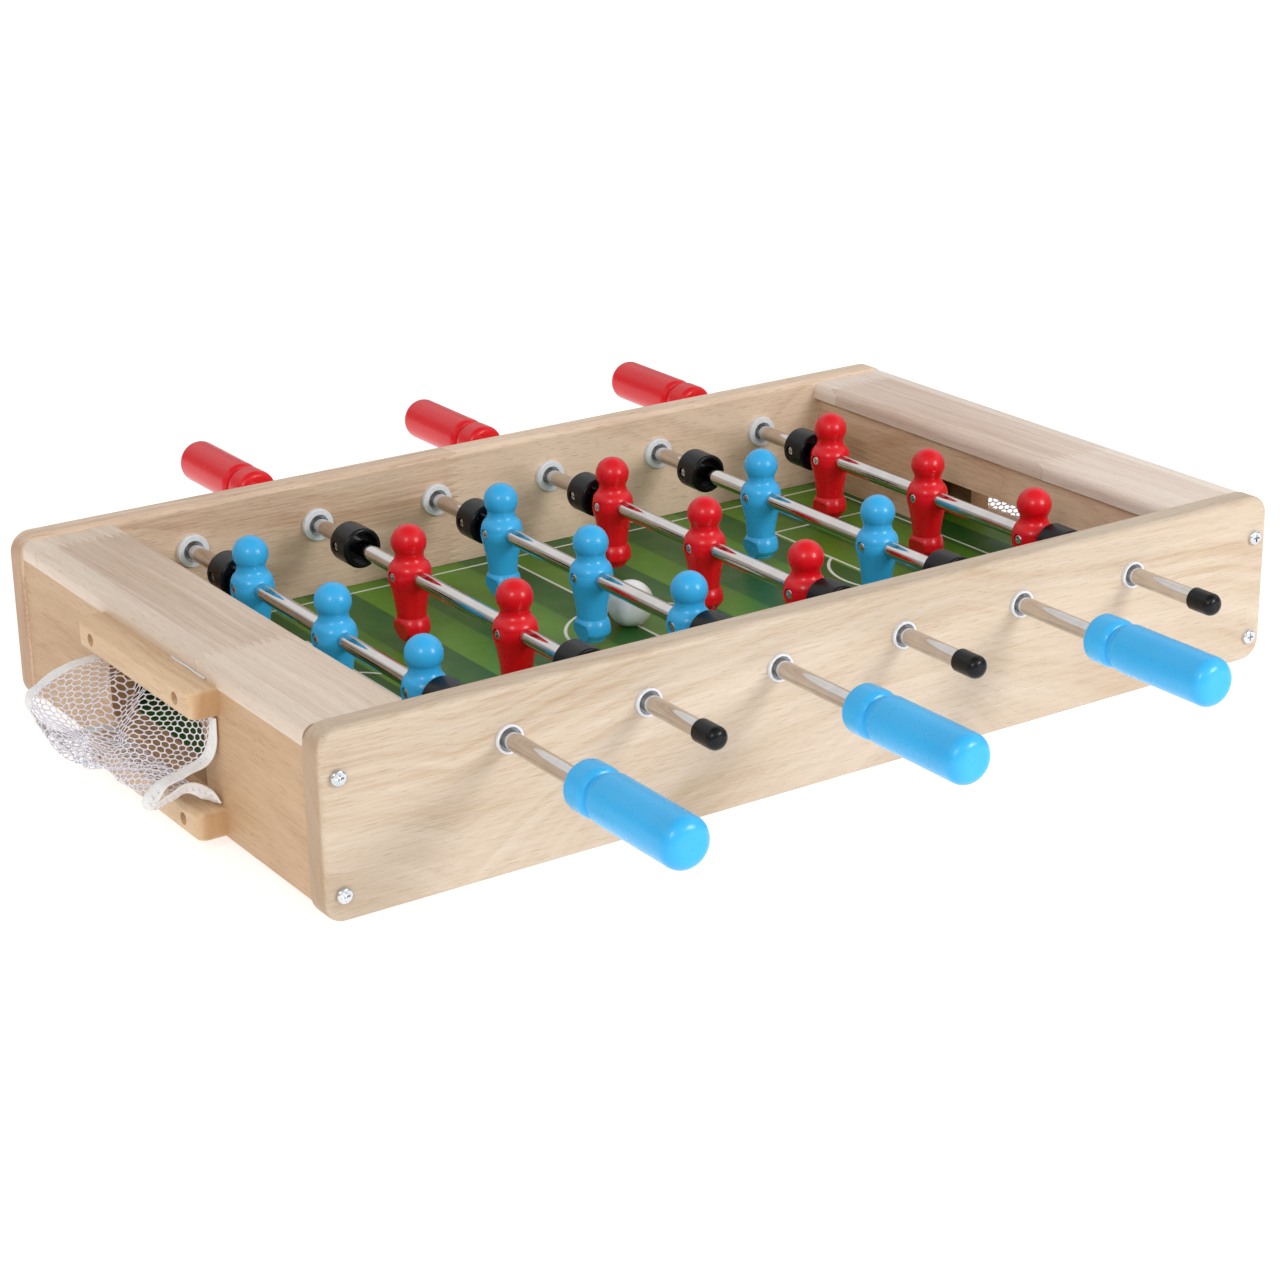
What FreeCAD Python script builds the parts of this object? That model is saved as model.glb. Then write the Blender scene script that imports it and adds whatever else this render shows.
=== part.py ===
import FreeCAD, Part
import os
import Sketcher

# Tabletop football game: a shallow wooden box with a green pitch, six rods and a net at each goal.
# Frame: +X runs along the table, +Y across it towards the back, +Z up.
# The origin is the middle of the table, on the surface that the side boards stand on.

VECTOR = FreeCAD.Vector
UPRIGHT = FreeCAD.Rotation()
HALF_TURN = FreeCAD.Rotation(VECTOR(0, 0, 1), 180)
ALONG_Y = FreeCAD.Rotation(VECTOR(1, 0, 0), -90)
ALONG_X = FreeCAD.Rotation(VECTOR(0, 1, 0), 90)

DIMENSIONS = [
    # box
    ("table_length", 510),
    ("table_width", 305),
    ("side_height", 82.5),
    ("side_thickness", 14),
    ("side_corner", 10),
    ("side_edge", 2.8),
    ("rail_inset", 1.5),
    ("rail_width", 48.5),
    ("rail_thickness", 8.5),
    ("rail_drop", 1.6),
    ("rail_edge", 5),
    ("end_thickness", 12),
    ("end_base", 6.5),
    ("goal_board_thickness", 10),
    ("goal_board_recess", 3.5),
    ("goal_width", 95),
    ("goal_height", 28),
    ("goal_corner", 5),
    ("pitch_top", 24),
    ("pitch_thickness", 4),
    ("groove_depth", 4),
    ("groove_play", 0.2),
    # rods and what is on them
    ("rod_diameter", 8),
    ("rod_height", 60.0),
    ("rod_spacing", 67.5),
    ("fit_play", 0.05),
    ("sleeve_diameter", 12.6),
    ("sleeve_proud", 1.5),
    ("sleeve_mouth", 10.6),
    ("sleeve_mouth_depth", 3),
    ("flange_diameter", 16.2),
    ("flange_thickness", 2.6),
    ("bumper_reach", 92.3),
    ("bumper_length", 15.5),
    ("bumper_diameter", 20),
    ("bumper_cup_diameter", 16.2),
    ("bumper_cup_depth", 5),
    ("bumper_edge", 1.2),
    ("handle_gap", 50),
    ("handle_length", 73),
    ("handle_diameter", 22),
    ("handle_collar", 14),
    ("handle_groove", 3),
    ("handle_neck", 18),
    ("handle_nose", 6),
    ("handle_edge", 3.2),
    ("handle_socket", 45),
    ("cap_gap", 36.5),
    ("cap_length", 14.5),
    ("cap_diameter", 10.4),
    ("cap_socket", 11),
    ("cap_nose", 3.8),
    # players
    ("outer_player", 80),
    ("paired_player", 47),
    ("head_radius", 8.4),
    ("head_rise", 16),
    ("neck_radius", 7.45),
    ("neck_rise", 12.3),
    ("nape_radius", 8.3),
    ("nape_rise", 6.3),
    ("shoulder_radius", 10.1),
    ("shoulder_rise", 2),
    ("chest_drop", 3),
    ("waist_radius", 7.1),
    ("waist_drop", 20.5),
    ("foot_radius", 8.9),
    ("foot_drop", 27.5),
    ("sole_radius", 6.4),
    ("sole_drop", 32),
    ("foot_depth", 13.4),
    ("foot_flat", 23),
    # screws
    ("player_screw_head", 5),
    ("player_screw_depth", 1.6),
    ("player_screw_shank", 2.4),
    ("player_screw_room", 0.35),
    ("player_screw_seat", 8.1),
    ("bumper_screw_seat", 7.6),
    ("frame_screw_head", 7),
    ("frame_screw_depth", 2.2),
    ("frame_screw_shank", 4),
    ("frame_screw_length", 24),
    ("frame_screw_inset", 8.5),
    ("frame_screw_low", 12.4),
    ("frame_screw_high", 62.6),
    ("batten_screw_head", 5.6),
    ("batten_screw_shank", 3),
    ("batten_screw_length", 20),
    ("batten_screw_depth", 1.4),
    ("batten_screw_sink", 3.2),
    # nets, their battens and the ball
    ("batten_length", 114),
    ("batten_section", 13),
    ("batten_round", 5),
    ("batten_edge", 2.5),
    ("batten_low", 6.5),
    ("batten_high", 60.5),
    ("batten_screw_reach", 42),
    ("batten_shift", 7.5),
    ("net_width", 106),
    ("net_skin", 1.6),
    ("net_gap", 0.6),
    ("net_drop", 4),
    ("net_bulge", 37.5),
    ("net_middle", 41),
    ("net_crown", 34),
    ("net_fold_reach", 30),
    ("net_fold_height", 21.5),
    ("net_fold_round", 15),
    ("net_arch_reach", 11),
    ("net_arch_height", 28),
    ("net_arch_round", 10),
    ("ball_diameter", 22.6),
    ("ball_along", -2.5),
    ("ball_across", 9),
]

# Where each rod stands across the table, from its middle position, and the team it belongs to.
RODS = [
    ("blue", 3, -5.5),
    ("red", 2, -1),
    ("blue", 3, -5.5),
    ("red", 3, -1.4),
    ("blue", 2, -1.6),
    ("red", 3, -3.7),
]


class Size:
    """A number together with the spreadsheet expression that gives it."""

    def __init__(self, value, text):
        self.value = value
        self.text = text

    def __add__(self, other):
        other = as_size(other)
        return Size(self.value + other.value, f"({self.text} + {other.text})")

    def __sub__(self, other):
        other = as_size(other)
        return Size(self.value - other.value, f"({self.text} - {other.text})")

    def __mul__(self, factor):
        return Size(self.value * factor, f"({self.text} * {factor})")

    def __truediv__(self, factor):
        return Size(self.value / factor, f"({self.text} / {factor})")

    def __neg__(self):
        return Size(-self.value, f"(0 - {self.text})")


def as_size(number):
    if isinstance(number, Size):
        return number
    return Size(float(number), f"({float(number)})")


class Sizes:
    """The spreadsheet's cells by name."""


def fill_sheet(doc):
    sheet = doc.addObject("Spreadsheet::Sheet", "Sizes")
    sizes = Sizes()
    rows = list(DIMENSIONS)
    for number, (team, players, shift) in enumerate(RODS, start=1):
        rows.append((f"rest_shift_{number}", shift))
    for row, (name, value) in enumerate(rows, start=1):
        sheet.set(f"A{row}", name)
        sheet.set(f"B{row}", str(value))
        sheet.setAlias(f"B{row}", name)
        setattr(sizes, name, Size(float(value), f"Sizes.{name}"))
    doc.recompute()
    return sizes


doc = FreeCAD.newDocument("TableFootball")
size = fill_sheet(doc)

# Levels and positions that several pieces share.
half_length = size.table_length / 2
half_width = size.table_width / 2
inner_half_width = half_width - size.side_thickness
rail_top = size.side_height - size.rail_drop
rail_bottom = rail_top - size.rail_thickness
end_face = half_length - size.rail_inset
pitch_bottom = size.pitch_top - size.pitch_thickness
goal_top = size.pitch_top + size.goal_height
rod_radius = size.rod_diameter / 2
bore_radius = rod_radius + size.fit_play
batten_face = end_face + size.batten_section


def bind(thing, **sizes):
    """Set properties and tie each one to its expression."""
    for name, value in sizes.items():
        value = as_size(value)
        setattr(thing, name, value.value)
        thing.setExpression(name, value.text)


def place(thing, x=0, y=0, z=0, turn=UPRIGHT):
    """Put an object in the table's frame."""
    point = [as_size(v) for v in (x, y, z)]
    thing.Placement = FreeCAD.Placement(VECTOR(*[p.value for p in point]), turn)
    for axis, p in zip("xyz", point):
        thing.setExpression(f"Placement.Base.{axis}", p.text)
    return thing


def box(name, length, width, height, x=0, y=0, z=0):
    """A box centred on x and y, with its lowest face at z."""
    solid = doc.addObject("Part::Box", name)
    bind(solid, Length=length, Width=width, Height=height)
    x, y = as_size(x), as_size(y)
    return place(solid, x - as_size(length) / 2, y - as_size(width) / 2, z)


def rod_shape(name, radius, length, x=0, y=0, z=0, turn=UPRIGHT):
    solid = doc.addObject("Part::Cylinder", name)
    bind(solid, Radius=radius, Height=length)
    return place(solid, x, y, z, turn)


def cut(name, base, tools):
    """Take the tools away from the base."""
    if len(tools) == 1:
        tool = tools[0]
    else:
        tool = doc.addObject("Part::MultiFuse", name + "_tools")
        tool.Shapes = tools
    result = doc.addObject("Part::Cut", name)
    result.Base = base
    result.Tool = tool
    return result


def fuse(name, solids):
    result = doc.addObject("Part::MultiFuse", name)
    result.Shapes = solids
    return result


def group(name, solids):
    """Identical pieces that share one node."""
    result = doc.addObject("Part::Compound", name)
    result.Links = solids
    return result


def round_edges(name, base, radius, chosen):
    """Fillet the edges for which chosen(edge) holds."""
    doc.recompute()
    edges = [n for n, edge in enumerate(base.Shape.Edges, start=1) if chosen(edge)]
    result = doc.addObject("Part::Fillet", name)
    result.Base = base
    result.Edges = [(n, radius.value, radius.value) for n in edges]
    return result


def runs_along(edge, axis):
    if edge.Curve.TypeId != "Part::GeomLine":
        return False
    return abs(abs(edge.Curve.Direction.dot(axis)) - 1) < 1e-6


def plane_of(body, role):
    return next(f for f in body.Origin.OriginFeatures if f.Role == role)


def new_body(name):
    body = doc.addObject("PartDesign::Body", name)
    doc.recompute()
    return body


def sketch_on(body, role, name, offset=None):
    """A sketch on one of the body's own planes, or at an offset along that plane's normal."""
    sketch = body.newObject("Sketcher::SketchObject", name)
    sketch.AttachmentSupport = [(plane_of(body, role), "")]
    sketch.MapMode = "FlatFace"
    if offset is not None:
        sketch.setExpression("AttachmentOffset.Base.z", offset.text)
    return sketch


def fix(sketch, kind, geometry, point, value):
    """Hold one coordinate of a sketch point at a size."""
    number = sketch.addConstraint(Sketcher.Constraint(kind, -1, 1, geometry, point, value.value))
    sketch.setExpression(f"Constraints[{number}]", value.text)


def outline(sketch, corners, closed=True):
    """Draw an outline or an open path. A corner is (x, y), or (x, y, radius) for an arc that ends there."""
    points = [VECTOR(as_size(c[0]).value, as_size(c[1]).value, 0) for c in corners]
    first = 0 if closed else 1
    for n in range(first, len(corners)):
        before, here = points[n - 1], points[n]
        if len(corners[n]) == 2:
            sketch.addGeometry(Part.LineSegment(before, here))
            continue
        middle = arc_middle(before, here, as_size(corners[n][2]).value)
        sketch.addGeometry(Part.Arc(before, middle, here))
    if not closed:
        hold_point(sketch, 0, end_of(sketch, 0, points[0]), corners[0])
    count = len(corners) - first
    for n in range(count):
        corner, point = corners[n + first], points[n + first]
        end = end_of(sketch, n, point)
        following = (n + 1) % count
        if closed or following > 0:
            start = end_of(sketch, following, point)
            sketch.addConstraint(Sketcher.Constraint("Coincident", n, end, following, start))
        hold_point(sketch, n, end, corner)
        if len(corner) == 3:
            radius = as_size(corner[2])
            text = radius.text if radius.value > 0 else (-radius).text
            number = sketch.addConstraint(Sketcher.Constraint("Radius", n, abs(radius.value)))
            sketch.setExpression(f"Constraints[{number}]", text)


def hold_point(sketch, number, end, corner):
    """Hold one end of a sketch line or arc at its corner."""
    fix(sketch, "DistanceX", number, end, as_size(corner[0]))
    fix(sketch, "DistanceY", number, end, as_size(corner[1]))


def end_of(sketch, number, point):
    """Which end of a sketch line or arc lies at a point."""
    start = sketch.getPoint(number, 1)
    return 1 if start.distanceToPoint(point) < 1e-6 else 2


def arc_middle(start, end, radius):
    """The middle of the shorter arc; a positive radius bulges to the right of the way from start to end."""
    chord = end - start
    half = chord.Length / 2
    rise = abs(radius) - (radius * radius - half * half) ** 0.5
    side = VECTOR(chord.y, -chord.x, 0).normalize()
    return (start + end) * 0.5 + side * (rise if radius > 0 else -rise)


def circles(sketch, spots):
    """Draw circles, each given as (x, y, radius)."""
    for n, (x, y, radius) in enumerate(spots):
        x, y, radius = as_size(x), as_size(y), as_size(radius)
        centre = VECTOR(x.value, y.value, 0)
        sketch.addGeometry(Part.Circle(centre, VECTOR(0, 0, 1), radius.value))
        fix(sketch, "DistanceX", n, 3, x)
        fix(sketch, "DistanceY", n, 3, y)
        number = sketch.addConstraint(Sketcher.Constraint("Radius", n, radius.value))
        sketch.setExpression(f"Constraints[{number}]", radius.text)


def extrude(body, kind, sketch, length, reverse=False, both=False):
    """Pad or pocket a sketch, and check that a pocket really cuts."""
    doc.recompute()
    before = body.Shape.Volume if kind == "PartDesign::Pocket" else 0
    feature = body.newObject(kind, sketch.Name + "_feature")
    feature.Profile = sketch
    bind(feature, Length=length)
    feature.Reversed = reverse
    feature.Midplane = both
    doc.recompute()
    if kind == "PartDesign::Pocket" and body.Shape.Volume > before - 1:
        raise RuntimeError(f"{sketch.Name} cuts nothing")
    return feature


def turn_profile(body, sketch):
    """Revolve a profile about the sketch's vertical axis."""
    doc.recompute()
    feature = body.newObject("PartDesign::Revolution", sketch.Name + "_turned")
    feature.Profile = sketch
    feature.ReferenceAxis = (sketch, ["V_Axis"])
    feature.Angle = 360
    doc.recompute()
    return feature


def soften(body, radius, chosen):
    """Fillet the chosen edges of a body."""
    doc.recompute()
    base = body.Tip
    names = [f"Edge{n}" for n, edge in enumerate(base.Shape.Edges, start=1) if chosen(edge)]
    feature = body.newObject("PartDesign::Fillet", f"{body.Name}_round_{len(names)}")
    feature.Base = (base, names)
    bind(feature, Radius=radius)
    doc.recompute()
    return feature


def rod_places():
    """Each rod's number, team, players, X position and shift across the table."""
    for number, (team, players, shift) in enumerate(RODS, start=1):
        across = getattr(size, f"rest_shift_{number}")
        yield number, team, players, size.rod_spacing * (number - 3.5), across


# The wooden box.


def side_board(name, turn, side):
    """A long board with rounded corners, six rod holes, four screw holes and a groove for the pitch."""
    body = new_body(name)
    face = sketch_on(body, "XZ_Plane", name + "_face")
    corners = [
        (-half_length, 0),
        (half_length, 0),
        (half_length, size.side_height),
        (-half_length, size.side_height),
    ]
    outline(face, corners)
    extrude(body, "PartDesign::Pad", face, size.side_thickness, reverse=True)
    soften(body, size.side_corner, lambda e: runs_along(e, VECTOR(0, 1, 0)))
    soften(body, size.side_edge, lambda e: not runs_along(e, VECTOR(0, 1, 0)))
    holes = sketch_on(body, "XZ_Plane", name + "_holes")
    sleeve = size.sleeve_diameter / 2 + size.fit_play
    spots = [(size.rod_spacing * (n - 2.5), size.rod_height, sleeve) for n in range(6)]
    screw = size.frame_screw_shank / 2
    for end in (-1, 1):
        for height in (size.frame_screw_low, size.frame_screw_high):
            spots.append(((half_length - size.frame_screw_inset) * end, height, screw))
    circles(holes, spots)
    extrude(body, "PartDesign::Pocket", holes, size.side_thickness * 3, both=True)
    groove = sketch_on(body, "YZ_Plane", name + "_groove")
    floor = size.side_thickness - size.groove_depth
    corners = [
        (floor, pitch_bottom),
        (size.side_thickness + 1, pitch_bottom),
        (size.side_thickness + 1, size.pitch_top + size.groove_play),
        (floor, size.pitch_top + size.groove_play),
    ]
    outline(groove, corners)
    reach = (end_face - size.end_thickness) * 2
    extrude(body, "PartDesign::Pocket", groove, reach, both=True)
    place(body, 0, half_width * side, 0, turn)
    return body


def end_board(name, side):
    """The outer board of one end, with the goal cut through it."""
    middle = (end_face - size.end_thickness / 2) * side
    width = inner_half_width * 2
    height = rail_bottom - size.end_base
    deep = size.end_thickness * 2
    board = box(name + "_blank", size.end_thickness, width, height, middle, 0, size.end_base)
    window = box(name + "_window", deep, size.goal_width, size.goal_height, middle, 0, size.pitch_top)
    window = round_edges(
        name + "_opening",
        window,
        size.goal_corner,
        lambda e: runs_along(e, VECTOR(1, 0, 0)) and e.CenterOfMass.z > goal_top.value - 1,
    )
    tools = [window]
    radius = size.frame_screw_shank / 2
    depth = size.frame_screw_length - size.side_thickness + 0.5
    for number, (edge, height) in enumerate(
        [(e, h) for e in (-1, 1) for h in (size.frame_screw_low, size.frame_screw_high)]
    ):
        start = inner_half_width * -1 if edge < 0 else inner_half_width - depth
        spot = (half_length - size.frame_screw_inset) * side
        tools.append(rod_shape(f"{name}_end_hole_{number}", radius, depth, spot, start, height, ALONG_Y))
    for number, (across, height) in enumerate(batten_screw_spots(side)):
        depth = size.batten_screw_length - size.batten_section + 0.5
        start = end_face - depth if side > 0 else -end_face
        shank = size.batten_screw_shank / 2
        tools.append(rod_shape(f"{name}_pilot_{number}", shank, depth, start, across, height, ALONG_X))
    return cut(name, board, tools)


def goal_board(name, side):
    """The inner board of one end, standing on the pitch, with the goal mouth at its foot."""
    inner = end_face - size.rail_width + size.goal_board_recess
    middle = (inner + size.goal_board_thickness / 2) * side
    width = inner_half_width * 2
    height = rail_bottom - size.pitch_top
    blank = box(name + "_blank", size.goal_board_thickness, width, height, middle, 0, size.pitch_top)
    mouth = box(
        name + "_mouth",
        size.goal_board_thickness * 2,
        size.goal_width,
        size.goal_height * 2,
        middle,
        0,
        size.pitch_top - size.goal_height,
    )
    mouth = round_edges(
        name + "_opening",
        mouth,
        size.goal_corner,
        lambda e: runs_along(e, VECTOR(1, 0, 0)) and e.CenterOfMass.z > goal_top.value - 1,
    )
    return cut(name, blank, [mouth])


def rail(name, side):
    """The flat cap over one end, with rounded long edges."""
    middle = (end_face - size.rail_width / 2) * side
    width = inner_half_width * 2
    blank = box(name + "_blank", size.rail_width, width, size.rail_thickness, middle, 0, rail_bottom)
    return round_edges(
        name,
        blank,
        size.rail_edge,
        lambda e: runs_along(e, VECTOR(0, 1, 0)) and e.CenterOfMass.z > rail_top.value - 1,
    )


def pitch(name):
    """The playing board, with its long edges in the side boards' grooves."""
    length = (end_face - size.end_thickness) * 2
    width = (inner_half_width + size.groove_depth - size.groove_play) * 2
    return box(name, length, width, size.pitch_thickness, 0, 0, pitch_bottom)


# Screws.


def screw(name, head, depth, shank, length, x, y, z, turn):
    """A pan-head screw with a cross slot. Its head stands on the seat and its shank runs along its Z axis."""
    radius = head / 2
    cap = rod_shape(name + "_cap", radius, depth, 0, 0, -depth)
    cap = round_edges(name + "_pan", cap, depth / 2, lambda e: e.CenterOfMass.z < -0.01)
    stem = rod_shape(name + "_shank", shank / 2, length)
    slot = depth * 2 / 3
    slots = [
        box(name + "_slot_a", radius * 1.1, radius / 4, slot, 0, 0, -depth),
        box(name + "_slot_b", radius / 4, radius * 1.1, slot, 0, 0, -depth),
    ]
    return place(cut(name, fuse(name + "_solid", [cap, stem]), slots), x, y, z, turn)


def batten_screw_spots(side):
    """Across and height of the two screws in each batten of one goal."""
    middle = size.batten_section / 2
    for low in (size.batten_low, size.batten_high):
        for edge in (-1, 1):
            yield size.batten_shift * side + size.batten_screw_reach * edge, low + middle


def frame_screws(name):
    """The machine screws of the box and the wood screws of the battens."""
    screws = []
    for side, turn in ((-1, ALONG_Y), (1, FreeCAD.Rotation(VECTOR(1, 0, 0), 90))):
        for end in (-1, 1):
            for height in (size.frame_screw_low, size.frame_screw_high):
                screws.append(
                    screw(
                        f"box_screw_{len(screws)}",
                        size.frame_screw_head,
                        size.frame_screw_depth,
                        size.frame_screw_shank,
                        size.frame_screw_length,
                        (half_length - size.frame_screw_inset) * end,
                        half_width * side,
                        height,
                        turn,
                    )
                )
    for end, turn in ((-1, ALONG_X), (1, FreeCAD.Rotation(VECTOR(0, 1, 0), -90))):
        for across, height in batten_screw_spots(end):
            screws.append(
                screw(
                    f"batten_screw_{len(screws)}",
                    size.batten_screw_head,
                    size.batten_screw_depth,
                    size.batten_screw_shank,
                    size.batten_screw_length - size.batten_screw_sink,
                    (batten_face - size.batten_screw_sink) * end,
                    across,
                    height,
                    turn,
                )
            )
    return group(name, screws)


# Rods.


def bushing(name, x, side):
    """A nylon bushing: a sleeve through the side board and a flange against its inner face."""
    inner = inner_half_width - size.flange_thickness
    outer = half_width + size.sleeve_proud
    length = outer - inner
    start = inner if side > 0 else -outer
    flange_start = inner if side > 0 else -inner_half_width
    height = size.rod_height
    radius = size.flange_diameter / 2
    thickness = size.flange_thickness
    sleeve = rod_shape(name + "_sleeve", size.sleeve_diameter / 2, length, x, start, height, ALONG_Y)
    flange = rod_shape(name + "_flange", radius, thickness, x, flange_start, height, ALONG_Y)
    bore = rod_shape(name + "_bore", bore_radius, length + 2, x, start - 1, height, ALONG_Y)
    mouth = size.sleeve_mouth / 2
    deep = size.sleeve_mouth_depth
    near = rod_shape(name + "_near_mouth", mouth, deep + 1, x, start - 1, height, ALONG_Y)
    far = rod_shape(name + "_far_mouth", mouth, deep + 1, x, start + length - deep, height, ALONG_Y)
    solid = fuse(name + "_solid", [sleeve, flange])
    rims = round_edges(
        name + "_rim",
        solid,
        size.flange_thickness / 5,
        lambda e: e.Curve.TypeId == "Part::GeomCircle" and abs(abs(e.CenterOfMass.y) - inner.value) < 0.1,
    )
    return cut(name, rims, [bore, near, far])


def rod(name, x, across, way):
    """The steel rod, from inside its handle to inside its end cap."""
    handle_end = half_width + size.handle_gap + size.handle_socket - 1
    cap_end = half_width + size.cap_gap + size.cap_socket - 0.5
    start = -handle_end if way < 0 else -cap_end
    return rod_shape(name, rod_radius, handle_end + cap_end, x, across + start, size.rod_height, ALONG_Y)


def handle(name, x, across, way):
    """A turned grip: a short collar, a groove and a long barrel with a round nose."""
    body = new_body(name)
    profile = sketch_on(body, "XY_Plane", name + "_profile")
    barrel = size.handle_diameter / 2
    neck = size.handle_neck / 2
    edge = size.handle_edge
    lip = size.handle_groove
    collar = size.handle_collar
    corners = [
        (rod_radius, 0),
        (barrel - edge, 0),
        (barrel, -edge, -edge),
        (barrel, edge - collar),
        (barrel - edge * 0.35, -collar, edge * -1.6),
        (neck, -collar - lip * 0.15),
        (neck, -collar - lip * 0.85),
        (barrel - edge * 0.35, -collar - lip),
        (barrel, -collar - lip - edge, edge * -1.6),
        (barrel, size.handle_nose - size.handle_length),
        (barrel - size.handle_nose, -size.handle_length, -size.handle_nose),
        (0, -size.handle_length),
        (0, -size.handle_socket),
        (rod_radius, -size.handle_socket),
    ]
    outline(profile, corners)
    turn_profile(body, profile)
    start = (half_width + size.handle_gap) * way
    turn = UPRIGHT if way < 0 else HALF_TURN
    return place(body, x, across + start, size.rod_height, turn)


def end_cap(name, x, across, way):
    """A rubber cap with a domed end, turned about the rod's axis."""
    body = new_body(name)
    profile = sketch_on(body, "XY_Plane", name + "_profile")
    radius = size.cap_diameter / 2
    edge = size.cap_nose / 4
    corners = [
        (bore_radius, 0),
        (radius - edge, 0),
        (radius, edge, edge),
        (radius, size.cap_length - size.cap_nose),
        (radius - size.cap_nose, size.cap_length, size.cap_nose),
        (0, size.cap_length),
        (0, size.cap_socket),
        (bore_radius, size.cap_socket),
    ]
    outline(profile, corners)
    turn_profile(body, profile)
    start = (half_width + size.cap_gap) * -way
    turn = UPRIGHT if way < 0 else HALF_TURN
    return place(body, x, across + start, size.rod_height, turn)


def bumper(name, x, across, side):
    """A rubber stop ring with a cup in the face that looks at the pitch's middle."""
    body = new_body(name)
    profile = sketch_on(body, "XY_Plane", name + "_profile")
    radius = size.bumper_diameter / 2
    cup = size.bumper_cup_diameter / 2
    edge = size.bumper_edge
    length = size.bumper_length
    corners = [
        (rod_radius, size.bumper_cup_depth),
        (cup, size.bumper_cup_depth),
        (cup, 0),
        (radius - edge, 0),
        (radius, edge, edge),
        (radius, length - edge),
        (radius - edge, length, edge),
        (rod_radius, length),
    ]
    outline(profile, corners)
    turn_profile(body, profile)
    hole = sketch_on(body, "YZ_Plane", name + "_screw_hole")
    spot = length / 2 + size.bumper_cup_depth / 2
    circles(hole, [(spot, 0, size.player_screw_head / 2 + size.fit_play)])
    extrude(body, "PartDesign::Pocket", hole, size.bumper_diameter, reverse=side < 0)
    turn = UPRIGHT if side > 0 else HALF_TURN
    return place(body, x, across + size.bumper_reach * side, size.rod_height, turn)


def player(name, x, across):
    """A turned skittle figure with a ball head, round shoulders, a waist and a foot flat fore and aft."""
    body = new_body(name)
    profile = sketch_on(body, "XZ_Plane", name + "_profile")
    corners = [
        (0, -size.sole_drop),
        (size.sole_radius - 1.5, -size.sole_drop),
        (size.sole_radius, -size.sole_drop + 1.5, 1.5),
        (size.foot_radius, -size.foot_drop, 9),
        (size.waist_radius, -size.waist_drop, 10),
        (size.shoulder_radius, -size.chest_drop, -90),
        (size.shoulder_radius, size.shoulder_rise, 12),
        (size.nape_radius, size.nape_rise, 6.5),
        (size.neck_radius, size.neck_rise, -5),
        (0, size.neck_rise),
    ]
    outline(profile, corners)
    turn_profile(body, profile)
    head = body.newObject("PartDesign::AdditiveSphere", name + "_head")
    head.AttachmentSupport = [(plane_of(body, "XY_Plane"), "")]
    head.MapMode = "FlatFace"
    bind(head, Radius=size.head_radius)
    head.setExpression("AttachmentOffset.Base.z", size.head_rise.text)
    doc.recompute()
    for side in (-1, 1):
        shave = sketch_on(body, "XZ_Plane", f"{name}_flat_{side + 1}")
        corners = [
            (size.foot_depth / 2 * side, -size.foot_flat),
            ((size.foot_radius + 3) * side, -size.foot_flat + 3),
            ((size.foot_radius + 3) * side, -size.sole_drop - 1),
            ((size.foot_depth / 2 - 1.2) * side, -size.sole_drop - 1),
        ]
        outline(shave, corners)
        extrude(body, "PartDesign::Pocket", shave, size.foot_radius * 3, both=True)
    bore = sketch_on(body, "XZ_Plane", name + "_bore")
    circles(bore, [(0, 0, rod_radius)])
    extrude(body, "PartDesign::Pocket", bore, size.shoulder_radius * 3, both=True)
    shank = sketch_on(body, "YZ_Plane", name + "_screw_hole")
    circles(shank, [(0, 0, size.player_screw_shank / 2)])
    extrude(body, "PartDesign::Pocket", shank, size.shoulder_radius * 2)
    seat = sketch_on(body, "YZ_Plane", name + "_screw_seat", -size.player_screw_seat)
    circles(seat, [(0, 0, size.player_screw_head / 2 + size.player_screw_room)])
    extrude(body, "PartDesign::Pocket", seat, size.shoulder_radius)
    return place(body, x, across, size.rod_height)


def player_spots(players):
    """Where the players of one rod stand along it, from the middle."""
    if players == 2:
        return [-size.paired_player, size.paired_player]
    return [-size.outer_player, as_size(0), size.outer_player]


def rod_screws(name, x, across, players):
    """The screws that pin a rod's players and bumpers, all on the same side of the rod."""
    screws = []
    seats = [(spot, size.player_screw_seat, size.player_screw_shank) for spot in player_spots(players)]
    middle = size.bumper_reach + size.bumper_length / 2 + size.bumper_cup_depth / 2
    for side in (-1, 1):
        seats.append((middle * side, size.bumper_screw_seat, size.player_screw_head - 0.1))
    for number, (spot, seat, shank) in enumerate(seats):
        screws.append(
            screw(
                f"{name}_{number}",
                size.player_screw_head,
                size.player_screw_depth,
                shank,
                seat - rod_radius,
                x - seat,
                across + spot,
                size.rod_height,
                ALONG_X,
            )
        )
    return group(name, screws)


# Nets, battens and ball.


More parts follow.
